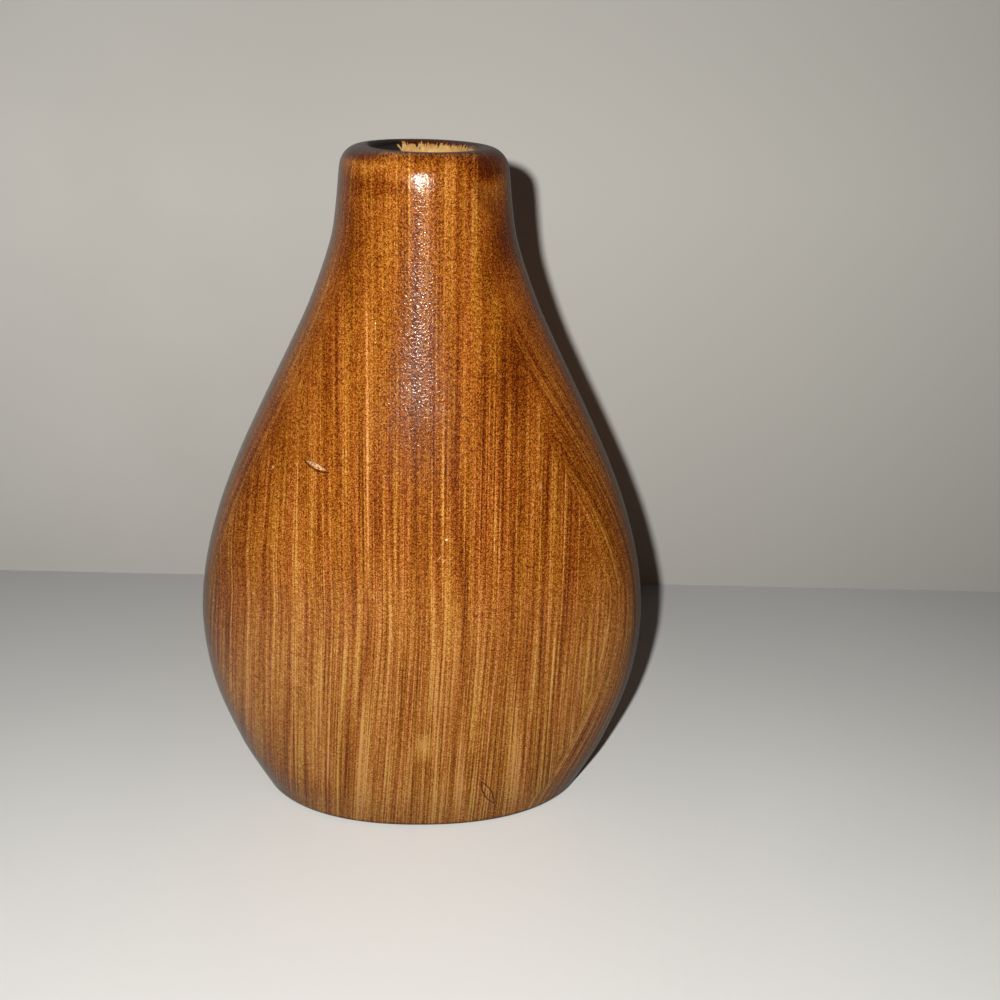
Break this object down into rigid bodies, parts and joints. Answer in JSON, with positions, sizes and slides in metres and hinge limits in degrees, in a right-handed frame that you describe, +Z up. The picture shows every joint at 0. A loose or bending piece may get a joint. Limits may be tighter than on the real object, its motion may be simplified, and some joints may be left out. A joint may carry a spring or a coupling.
{
  "type": "vase",
  "caption": "Flat-sided bottle vase with a round thick-lipped neck, a brushed wood-grain glaze and an ochre inside, for flowers or stems.",
  "frame": {"origin": "middle of the foot, on the surface that the vase stands on", "axes": "+Z up through the neck, X across the broad belly, the broad front face looks along -Y"},
  "size_m": [0.1032, 0.0616, 0.15],
  "materials": {
    "bare_clay": "unglazed fired clay, matt",
    "ochre_lining": "matt speckled ochre coat",
    "grain_glaze": "glossy brown glaze brushed on in fine wood-grain strokes, light orange-peel"
  },
  "bodies": {
    "root": {"clay_body": "bare_clay", "ochre_lining": "ochre_lining", "grain_glaze": "grain_glaze"}
  },
  "joints": []
}
